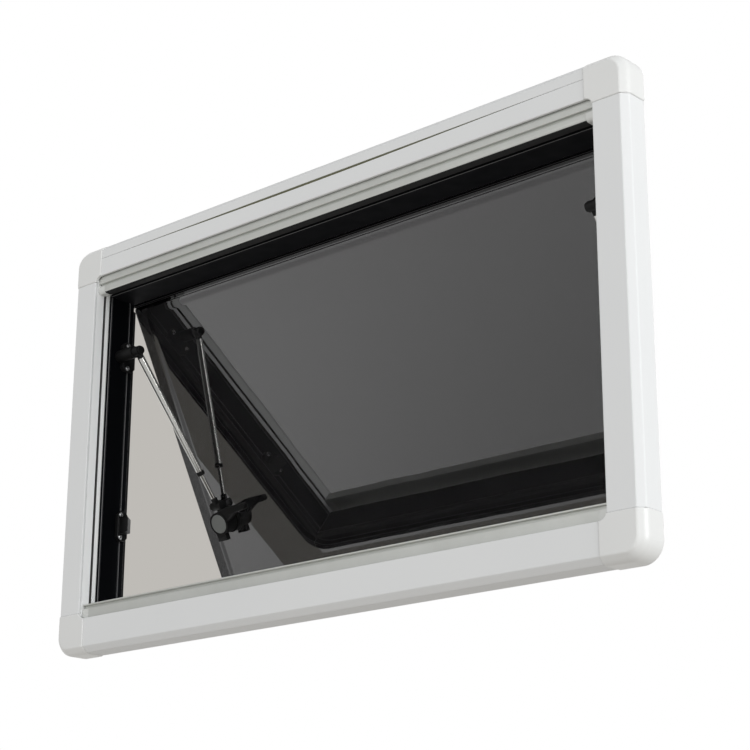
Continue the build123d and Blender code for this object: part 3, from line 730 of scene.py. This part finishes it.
def paneGrid():
    # rows down the pane and columns across it, closest on the ramps and in the round corners
    p = pane
    fieldLow = p["bottom"] - p["fieldMargin"]
    arc = p["bottom"] - p["bottomRadius"] * (1 - np.sin(np.linspace(0, math.pi / 2, 13)))
    topArc = p["top"] + p["topRadius"] * (1 - np.cos(np.linspace(0, math.pi / 2, 5)))
    drops = np.unique(np.round(np.concatenate([
        topArc,
        np.linspace(p["fieldTop"], p["fieldTop"] + p["step"], 10),
        np.linspace(p["fieldTop"] + p["step"], p["fieldTop"] + p["ramp"], 17),
        np.linspace(p["fieldTop"] + p["ramp"], fieldLow - p["ramp"], 14),
        np.linspace(fieldLow - p["ramp"], fieldLow - p["step"], 17),
        np.linspace(fieldLow - p["step"], fieldLow, 10),
        arc,
    ]), 6))
    edge = p["halfWidth"] - p["fieldMargin"]
    half = np.unique(np.round(np.concatenate([
        np.linspace(0, edge - p["ramp"], 14),
        np.linspace(edge - p["ramp"], edge - p["step"], 17),
        np.linspace(edge - p["step"], edge, 10),
        np.linspace(edge, p["halfWidth"], 5),
    ]), 6))
    columns = np.concatenate([-half[:0:-1], half]) / p["halfWidth"]
    lowPart = np.clip(drops - (p["bottom"] - p["bottomRadius"]), 0, p["bottomRadius"])
    topPart = np.clip(p["top"] + p["topRadius"] - drops, 0, p["topRadius"])
    reach = p["halfWidth"] - p["bottomRadius"] + np.sqrt(p["bottomRadius"] ** 2 - lowPart**2)
    reach = np.minimum(reach, p["halfWidth"] - p["topRadius"] + np.sqrt(p["topRadius"] ** 2 - topPart**2))
    return columns[None, :] * reach[:, None], drops[:, None] + 0 * columns[None, :]


def fieldRamp(x, drop):
    # distance in from the field's rounded outline, turned into a share of the height by the step and ramp
    p = pane
    low = p["bottom"] - p["fieldMargin"]
    halfX, halfS = p["halfWidth"] - p["fieldMargin"], (low - p["fieldTop"]) / 2
    overX = np.abs(x) - (halfX - p["fieldRadius"])
    overS = np.abs(drop - (low + p["fieldTop"]) / 2) - (halfS - p["fieldRadius"])
    outside = np.hypot(np.maximum(overX, 0), np.maximum(overS, 0))
    depth = p["fieldRadius"] - outside - np.minimum(np.maximum(overX, overS), 0)
    onRamp = softRamp((depth - p["step"]) / (p["ramp"] - p["step"]), p["shoulder"])
    return p["stepShare"] * softRamp(depth / p["step"], p["shoulder"]) + (1 - p["stepShare"]) * onRamp


def makePane(name, node, rise, start, thickness, gluedSide, finishNames):
    # both faces on one grid; where the sheet is flat its glued side has the second finish, and where it is
    # raised the room side of the inner sheet has the third
    x, drop = paneGrid()
    ramp = fieldRamp(x, drop)
    lift = rise * ramp - start
    sides = [onSash(x, drop, lift), onSash(x, drop, lift - thickness)]
    rows, columns = x.shape
    index = np.arange(rows * columns).reshape(rows, columns)
    rim = np.concatenate([index[0, :-1], index[:-1, -1], index[-1, :0:-1], index[:0:-1, 0]])
    after = np.roll(rim, -1)
    oneSide = np.array(gridFaces(rows, columns))
    faces = np.concatenate([
        oneSide,
        oneSide[:, ::-1] + rows * columns,
        np.stack([rim, rim + rows * columns, after + rows * columns, after], axis=-1),
    ])
    mesh = closedMesh(name, np.stack(sides), faces.tolist(), 50)
    keepPiece(name, mesh, finishNames[0], "window", [node])
    for other in finishNames[1:]:
        mesh.materials.append(materials[other])
    flat = ramp.reshape(-1)[oneSide].max(axis=1) == 0
    slots = np.zeros(len(faces), dtype=np.int32)
    slots[gluedSide * len(oneSide):(gluedSide + 1) * len(oneSide)] = flat
    if len(finishNames) > 2:
        slots[:len(oneSide)] = np.where(flat, 0, 2)
    mesh.polygons.foreach_set("material_index", slots)


makePane(
    "innerPane", "inner_pane", pane["fieldHeight"], 0.0, pane["innerThickness"], 1,
    ("tintedAcrylic", "tintedGlue", "tintedField"),
)
makePane(
    "outerPane", "outer_pane", -pane["outerFieldHeight"], pane["outerFrom"], pane["outerThickness"], 0,
    ("clearAcrylic", "clearGlue"),
)
print("panes made")

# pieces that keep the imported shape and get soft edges: how far each edge is cut back, in metres
softEdges = {
    "flyscreen_pull_bar": 0.0004,
    "blind_pull_bar": 0.0004,
    "flyscreen_bar_end_caps": 0.0004,
    "blind_bar_end_caps": 0.0004,
    "left_jamb": 0.0004,
    "right_jamb": 0.0004,
    "sill": 0.0004,
    "head": 0.0006,
    "sash_hinge_profile": 0.0004,
    "left_stay_bracket": 0.0007,
    "right_stay_bracket": 0.0007,
    "left_latch_striker": 0.0007,
    "right_latch_striker": 0.0007,
    "left_latch_base": 0.0004,
    "right_latch_base": 0.0004,
    "left_latch_lever": 0.0005,
    "right_latch_lever": 0.0005,
    "left_stay_ferrule": 0.0004,
    "right_stay_ferrule": 0.0004,
    "left_stay_foot": 0.0003,
    "right_stay_foot": 0.0003,
    "left_stay_eye": 0.0003,
    "right_stay_eye": 0.0003,
    "left_guide_rail": 0.0006,
    "right_guide_rail": 0.0006,
    "left_stay_tube": 0.0002,
    "right_stay_tube": 0.0002,
    "left_stay_rod": 0.0002,
    "right_stay_rod": 0.0002,
    "sash_seal": 0.0003,
    "flyscreen_roller": 0.0003,
    "blind_roller": 0.0003,
    "flyscreen_roller_bearings": 0.0003,
    "blind_roller_bearings": 0.0003,
}
soften = {"merge": 0.000002, "flatBelow": 0.8, "sharpFrom": 40.0, "bevelFrom": 35.0, "segments": 2}
# second finish: a lighter colour as a painted highlight on the cut edges of the black frame, painted shade
# on the faces of the guide rails that lie further out than grooveFrom, in their grooves, and black as
# painted shade on the flyscreen bar's underside
secondFinish = {"black_frame": "blackEdgeHighlight", "white_rail": "railShade", "grey_bar": "sealRubber"}
grooveFrom = 0.3505
paintedShadeTop = 0.3942


def softenNode(node):
    mesh = nodes[node].data.copy()
    work = bmesh.new()
    work.from_mesh(mesh)
    bmesh.ops.remove_doubles(work, verts=work.verts, dist=soften["merge"])
    flat = math.radians(soften["flatBelow"])
    bmesh.ops.dissolve_limit(work, angle_limit=flat, verts=work.verts, edges=work.edges)
    work.to_mesh(mesh)
    work.free()
    mesh.shade_smooth()
    mesh.set_sharp_from_angle(angle=math.radians(soften["sharpFrom"]))
    words = node.split("_")
    name = words[0] + "".join(word.title() for word in words[1:])
    piece = keepPiece(name, mesh, slotFinish[slotOf[node]], bodyOf[node], [node])
    if slotOf[node] in secondFinish:
        mesh.materials.append(materials[secondFinish[slotOf[node]]])
    center = np.zeros(3 * len(mesh.polygons))
    mesh.polygons.foreach_get("center", center)
    if slotOf[node] == "white_rail":
        inGroove = np.abs(center[0::3]) > grooveFrom
        mesh.polygons.foreach_set("material_index", inGroove.astype(np.int32))
    # the flyscreen bar's faces below this height, along its underside, take the black second finish as
    # painted shade
    if node == "flyscreen_pull_bar":
        inPaintedShade = center[2::3] < paintedShadeTop
        mesh.polygons.foreach_set("material_index", inPaintedShade.astype(np.int32))
    edge = piece.modifiers.new("softEdge", "BEVEL")
    edge.width = softEdges[node]
    edge.segments = soften["segments"]
    edge.limit_method = "ANGLE"
    edge.angle_limit = math.radians(soften["bevelFrom"])
    # the bevel faces of the black frame take the second finish, the painted edge highlight
    if slotOf[node] == "black_frame":
        edge.material = 1
    piece.modifiers.move(len(piece.modifiers) - 1, 0)


for node in softEdges:
    softenNode(node)
print("edges softened on", len(softEdges), "pieces")

# grey caps on the latch hubs: a shallow dish inside a rounded rim
cap = {
    "radius": 0.01105, "from": 0.0202, "to": 0.0222, "edge": 0.0007, "dish": 0.00025, "dishPower": 4,
    "hub": 0.0004, "around": 64,
}


def turned(profile, around, center, axis):
    # profile of (radius, height) turned about an axis through center
    profile = np.array(profile, float)
    axis = np.array(axis, float)
    first = np.cross(axis, (1.0, 0.0, 0.0) if abs(axis[0]) < 0.9 else (0.0, 0.0, 1.0))
    first /= np.linalg.norm(first)
    second = np.cross(axis, first)
    angle = np.linspace(0, 2 * math.pi, around, endpoint=False)
    ring = np.cos(angle)[:, None] * first + np.sin(angle)[:, None] * second
    return np.array(center) + profile[:, 0, None, None] * ring + profile[:, 1, None, None] * axis


def turnedMesh(name, points, sharpAngle=40):
    rows, columns = points.shape[:2]
    faces = gridFaces(rows, columns, closeColumns=True)
    faces.append(list(range(columns)))
    faces.append(list(range((rows - 1) * columns, rows * columns)))
    return closedMesh(name, points, faces, sharpAngle)


def makeCaps():
    # flat back, quarter-round rim and a dish whose depth falls with a power of the radius
    c = cap
    bend = np.linspace(0, math.pi / 2, 6)
    rim = np.stack([
        c["radius"] - c["edge"] * (1 - np.cos(bend)), c["to"] - c["edge"] * (1 - np.sin(bend))
    ], axis=-1)
    inside = np.linspace(c["radius"] - c["edge"], c["hub"], 12)
    depth = c["dish"] * (1 - (inside / (c["radius"] - c["edge"])) ** c["dishPower"])
    dish = np.stack([inside, c["to"] - depth], axis=-1)[1:]
    profile = np.concatenate([[[c["hub"], c["from"]], [c["radius"], c["from"]]], rim, dish])
    toRoom = (0.0, -math.cos(pane["lean"]), -math.sin(pane["lean"]))
    for joint in record["behaviour"]["joints"]:
        side = joint["child"].split("_")[0]
        mesh = turnedMesh(f"{side}LatchCap", turned(profile, c["around"], joint["pos_m"], toRoom))
        keepPiece(f"{side}LatchCap", mesh, "greyCap", joint["child"], [f"{side}_latch_cap"])


makeCaps()
print("latch caps made")

# cross-slotted screws that hold the stay brackets and the strikers to the jambs
screws = {
    "face": 0.3435,
    "places": {"bracketTop": (-0.0075, 0.3405), "bracketLow": (-0.0075, 0.3135),
               "strikerTop": (-0.0072, 0.1411), "strikerLow": (-0.0072, 0.1153)},
    "radius": 0.0029,
    "height": 0.0014,
    "slot": 0.00045,
    "slotReach": 0.0019,
    "slotDepth": 0.0009,
    "slotFade": (0.0002, 0.0003),
    "domePower": 2.6,
    "hub": 0.00005,
    "plainFrom": 0.0023,
    "turn": 0.4,
}


def makeScrews():
    # dome over a disc of rings and rays, lowered where a point is near either arm of the cross
    s = screws
    sideFade, endFade = s["slotFade"]
    radius = np.concatenate([
        np.linspace(s["hub"], s["slotReach"] + endFade, 14), np.linspace(s["plainFrom"], s["radius"], 7)
    ])
    dome = s["height"] * np.sqrt(np.clip(1 - (radius / s["radius"]) ** s["domePower"], 0, 1))
    angle = np.linspace(0, 2 * math.pi, 72, endpoint=False)
    across = np.minimum(np.abs(np.cos(angle)), np.abs(np.sin(angle)))[None, :] * radius[:, None]
    inSlot = np.clip((s["slot"] - across) / sideFade + 0.5, 0, 1)
    inSlot = inSlot * np.clip((s["slotReach"] - radius[:, None]) / endFade, 0, 1)
    height = dome[:, None] - s["slotDepth"] * inSlot
    for sideName, side in (("left", -1), ("right", 1)):
        for name, (y, z) in s["places"].items():
            head = np.stack([
                side * (s["face"] - height),
                y + radius[:, None] * np.cos(angle + s["turn"]),
                z + radius[:, None] * np.sin(angle + s["turn"]),
            ], axis=-1)
            pieceName = f"{sideName}{name[0].upper()}{name[1:]}Screw"
            mesh = turnedMesh(pieceName, head, 60)
            keepPiece(pieceName, mesh, "screwSteel", "window")


makeScrews()
print("screws made")

# soft light, mostly from the right; gloss sees a bright room low down, a dim one above, daylight outdoors;
# each range is the span of the ray's direction over which one tone turns into the other
studio = {
    "above": (0.50, 0.50, 0.505),
    "below": (0.47, 0.455, 0.43),
    "skyRange": (-0.6, 0.5),
    "roomHeight": (1.0, 0.36),
    "heightRange": (-0.28, 0.08),
    "roomLeft": (0.35, 1.0),
    "leftRange": (-0.93, -0.74),
    "roomAcross": (1.15, 0.84),
    "acrossRange": (-0.74, -0.52),
    "roomFloor": (0.80, 1.0),
    "floorRange": (-0.50, -0.34),
    "daylight": (0.0, 1.3),
    "daylightRange": (0.0, 0.3),
    "key": {"place": (3.45, -0.20, 0.65), "aim": (0, -0.05, 0.2), "size": 1.8, "power": 72.0,
            "color": (0.97, 0.99, 1.0)},
    "fill": {"place": (-0.2, -3.4, 0.9), "aim": (0, 0, 0.2), "size": 2.4, "power": 38.0,
             "color": (0.98, 0.995, 1.0)},
    "wallY": -0.0268,
    "reach": 3.0,
    "cutOut": (0.3546, 0.0114, 0.4186),
    "wallLeftEdge": -0.476,
    "wallOutside": (0.30, 0.288, 0.262),
    "wallInside": (0.75, 0.75, 0.74),
    "wallShade": (-0.40, -0.0388),
    "outdoorsY": 1.4,
    "outdoors": (0.515, 0.497, 0.468),
}


def stepBetween(tree, source, socket, limits, values):
    made = addNode(tree, "ShaderNodeMapRange", interpolation_type="SMOOTHSTEP")
    for label, value in zip(("From Min", "From Max", "To Min", "To Max"), (*limits, *values)):
        made.inputs[label].default_value = value
    wire(tree, source, socket, made, "Value")
    return made


def makeWorld():
    # diffuse light from above and below; gloss and clear sheets see the room and the daylight, the eye white
    world = bpy.data.worlds.new("studio")
    world.use_nodes = True
    bpy.context.scene.world = world
    tree = world.node_tree
    place = addNode(tree, "ShaderNodeTexCoord")
    split = addNode(tree, "ShaderNodeSeparateXYZ")
    wire(tree, place, "Generated", split, 0)
    up = stepBetween(tree, split, "Z", studio["skyRange"], (0.0, 1.0))
    lit = tree.nodes["Background"]
    tree.links.new(mixColor(tree, up, 0, studio["below"], studio["above"]), lit.inputs["Color"])
    height = stepBetween(tree, split, "Z", studio["heightRange"], studio["roomHeight"])
    leftward = stepBetween(tree, split, "X", studio["leftRange"], studio["roomLeft"])
    across = stepBetween(tree, split, "X", studio["acrossRange"], studio["roomAcross"])
    floor = stepBetween(tree, split, "Z", studio["floorRange"], studio["roomFloor"])
    room = height
    for factor in (leftward, across, floor):
        dimmed = addNode(tree, "ShaderNodeMath", operation="MULTIPLY")
        wire(tree, room, 0, dimmed, 0)
        wire(tree, factor, 0, dimmed, 1)
        room = dimmed
    daylight = stepBetween(tree, split, "Y", studio["daylightRange"], studio["daylight"])
    path = addNode(tree, "ShaderNodeLightPath")
    both = addNode(tree, "ShaderNodeMath", operation="MAXIMUM")
    brightness = addNode(tree, "ShaderNodeMix", data_type="FLOAT")
    brightness.inputs["B"].default_value = 1.0
    seen = addNode(tree, "ShaderNodeBackground")
    eyeOrGloss = addNode(tree, "ShaderNodeMath", operation="MAXIMUM")
    anySeen = addNode(tree, "ShaderNodeMath", operation="MAXIMUM")
    mix = addNode(tree, "ShaderNodeMixShader")
    wire(tree, room, 0, both, 0)
    wire(tree, daylight, 0, both, 1)
    wire(tree, both, 0, brightness, "A")
    wire(tree, path, "Is Camera Ray", brightness, "Factor")
    wire(tree, brightness, 0, seen, "Strength")
    wire(tree, path, "Is Camera Ray", eyeOrGloss, 0)
    wire(tree, path, "Is Glossy Ray", eyeOrGloss, 1)
    wire(tree, eyeOrGloss, 0, anySeen, 0)
    wire(tree, path, "Is Transmission Ray", anySeen, 1)
    wire(tree, anySeen, 0, mix, 0)
    wire(tree, lit, 0, mix, 1)
    wire(tree, seen, 0, mix, 2)
    wire(tree, mix, 0, tree.nodes["World Output"], 0)


def makeLamp(name):
    lamp = studio[name]
    data = bpy.data.lights.new(name, "AREA")
    data.energy = lamp["power"]
    data.size = lamp["size"]
    data.color = lamp["color"]
    place = Vector(lamp["place"])
    turn = (Vector(lamp["aim"]) - place).to_track_quat("-Z", "Y")
    made = bpy.data.objects.new(name, data)
    made.matrix_world = Matrix.Translation(place) @ turn.to_matrix().to_4x4()
    bpy.context.scene.collection.objects.link(made)


def stagePiece(name, points, faces, material):
    mesh = bpy.data.meshes.new(name)
    mesh.from_pydata(points, [], faces)
    mesh.materials.append(material)
    made = bpy.data.objects.new(name, mesh)
    bpy.context.scene.collection.objects.link(made)


def emptyMaterial(name):
    made = bpy.data.materials.new(name)
    made.use_nodes = True
    tree = made.node_tree
    tree.nodes.remove(tree.nodes["Principled BSDF"])
    return made, tree, tree.nodes["Material Output"]


def frontSight(tree, sightSocket, fromBehind):
    # 1 where a ray of the named kind meets the wanted side
    path = addNode(tree, "ShaderNodeLightPath")
    shape = addNode(tree, "ShaderNodeNewGeometry")
    sight = addNode(tree, "ShaderNodeMath", operation="MULTIPLY")
    wire(tree, path, sightSocket, sight, 0)
    if fromBehind:
        wire(tree, shape, "Backfacing", sight, 1)
    else:
        front = addNode(tree, "ShaderNodeMath", operation="SUBTRACT")
        front.inputs[0].default_value = 1.0
        wire(tree, shape, "Backfacing", front, 1)
        wire(tree, front, 0, sight, 1)
    return sight


def glow(tree, color):
    made = addNode(tree, "ShaderNodeEmission")
    made.inputs["Color"].default_value = (*color, 1)
    return made


def makeWallFinish():
    # white to the eye from the room, seen in gloss from both sides but for a strip round the frame, clear to
    # everything else
    made, tree, out = emptyMaterial("wallBackdrop")
    clear = addNode(tree, "ShaderNodeBsdfTransparent")
    room = glow(tree, (1, 1, 1))
    outside = glow(tree, studio["wallOutside"])
    inside = glow(tree, studio["wallInside"])
    fromRoom = frontSight(tree, "Is Camera Ray", False)
    inGloss = frontSight(tree, "Is Glossy Ray", True)
    inRoomGloss = frontSight(tree, "Is Glossy Ray", False)
    place = addNode(tree, "ShaderNodeTexCoord")
    split = addNode(tree, "ShaderNodeSeparateXYZ")
    rightOfEdge = addNode(tree, "ShaderNodeMath", operation="GREATER_THAN")
    rightOfEdge.inputs[1].default_value = studio["wallLeftEdge"]
    clearOfSide = addNode(tree, "ShaderNodeMath", operation="LESS_THAN")
    clearOfSill = addNode(tree, "ShaderNodeMath", operation="LESS_THAN")
    clearOfSide.inputs[1].default_value, clearOfSill.inputs[1].default_value = studio["wallShade"]
    clearOfFrame = addNode(tree, "ShaderNodeMath", operation="MAXIMUM")
    shown = addNode(tree, "ShaderNodeMath", operation="MULTIPLY")
    reflected = addNode(tree, "ShaderNodeMath", operation="MULTIPLY")
    withGloss = addNode(tree, "ShaderNodeMixShader")
    withRoomGloss = addNode(tree, "ShaderNodeMixShader")
    withEye = addNode(tree, "ShaderNodeMixShader")
    wire(tree, place, "Object", split, 0)
    wire(tree, split, "X", rightOfEdge, 0)
    wire(tree, split, "X", clearOfSide, 0)
    wire(tree, split, "Z", clearOfSill, 0)
    wire(tree, clearOfSide, 0, clearOfFrame, 0)
    wire(tree, clearOfSill, 0, clearOfFrame, 1)
    wire(tree, rightOfEdge, 0, shown, 0)
    wire(tree, clearOfFrame, 0, shown, 1)
    wire(tree, inGloss, 0, reflected, 0)
    wire(tree, shown, 0, reflected, 1)
    wire(tree, reflected, 0, withGloss, 0)
    wire(tree, clear, 0, withGloss, 1)
    wire(tree, outside, 0, withGloss, 2)
    wire(tree, inRoomGloss, 0, withRoomGloss, 0)
    wire(tree, withGloss, 0, withRoomGloss, 1)
    wire(tree, inside, 0, withRoomGloss, 2)
    wire(tree, fromRoom, 0, withEye, 0)
    wire(tree, withRoomGloss, 0, withEye, 1)
    wire(tree, room, 0, withEye, 2)
    wire(tree, withEye, 0, out, 0)
    return made


def makeWall():
    # plain wall that the window is clamped in, a sheet with the cut-out
    y, reach = studio["wallY"], studio["reach"]
    half, sill, head = studio["cutOut"]
    points = [
        (-reach, y, -reach), (reach, y, -reach), (reach, y, reach), (-reach, y, reach),
        (-half, y, sill), (half, y, sill), (half, y, head), (-half, y, head),
    ]
    faces = [(0, 1, 5, 4), (1, 2, 6, 5), (2, 3, 7, 6), (3, 0, 4, 7)]
    stagePiece("wall", points, faces, makeWallFinish())


def makeOutdoors():
    # pale sheet far behind, seen from the room only
    made, tree, out = emptyMaterial("outdoorsBackdrop")
    clear = addNode(tree, "ShaderNodeBsdfTransparent")
    pale = glow(tree, studio["outdoors"])
    fromRoom = frontSight(tree, "Is Camera Ray", False)
    mix = addNode(tree, "ShaderNodeMixShader")
    wire(tree, fromRoom, 0, mix, 0)
    wire(tree, clear, 0, mix, 1)
    wire(tree, pale, 0, mix, 2)
    wire(tree, mix, 0, out, 0)
    y, reach = studio["outdoorsY"], studio["reach"]
    points = [(-reach, y, -reach), (reach, y, -reach), (reach, y, reach), (-reach, y, reach)]
    stagePiece("outdoors", points, [(0, 1, 2, 3)], made)


makeWorld()
makeLamp("key")
makeLamp("fill")
makeWall()
makeOutdoors()
print("studio lit")
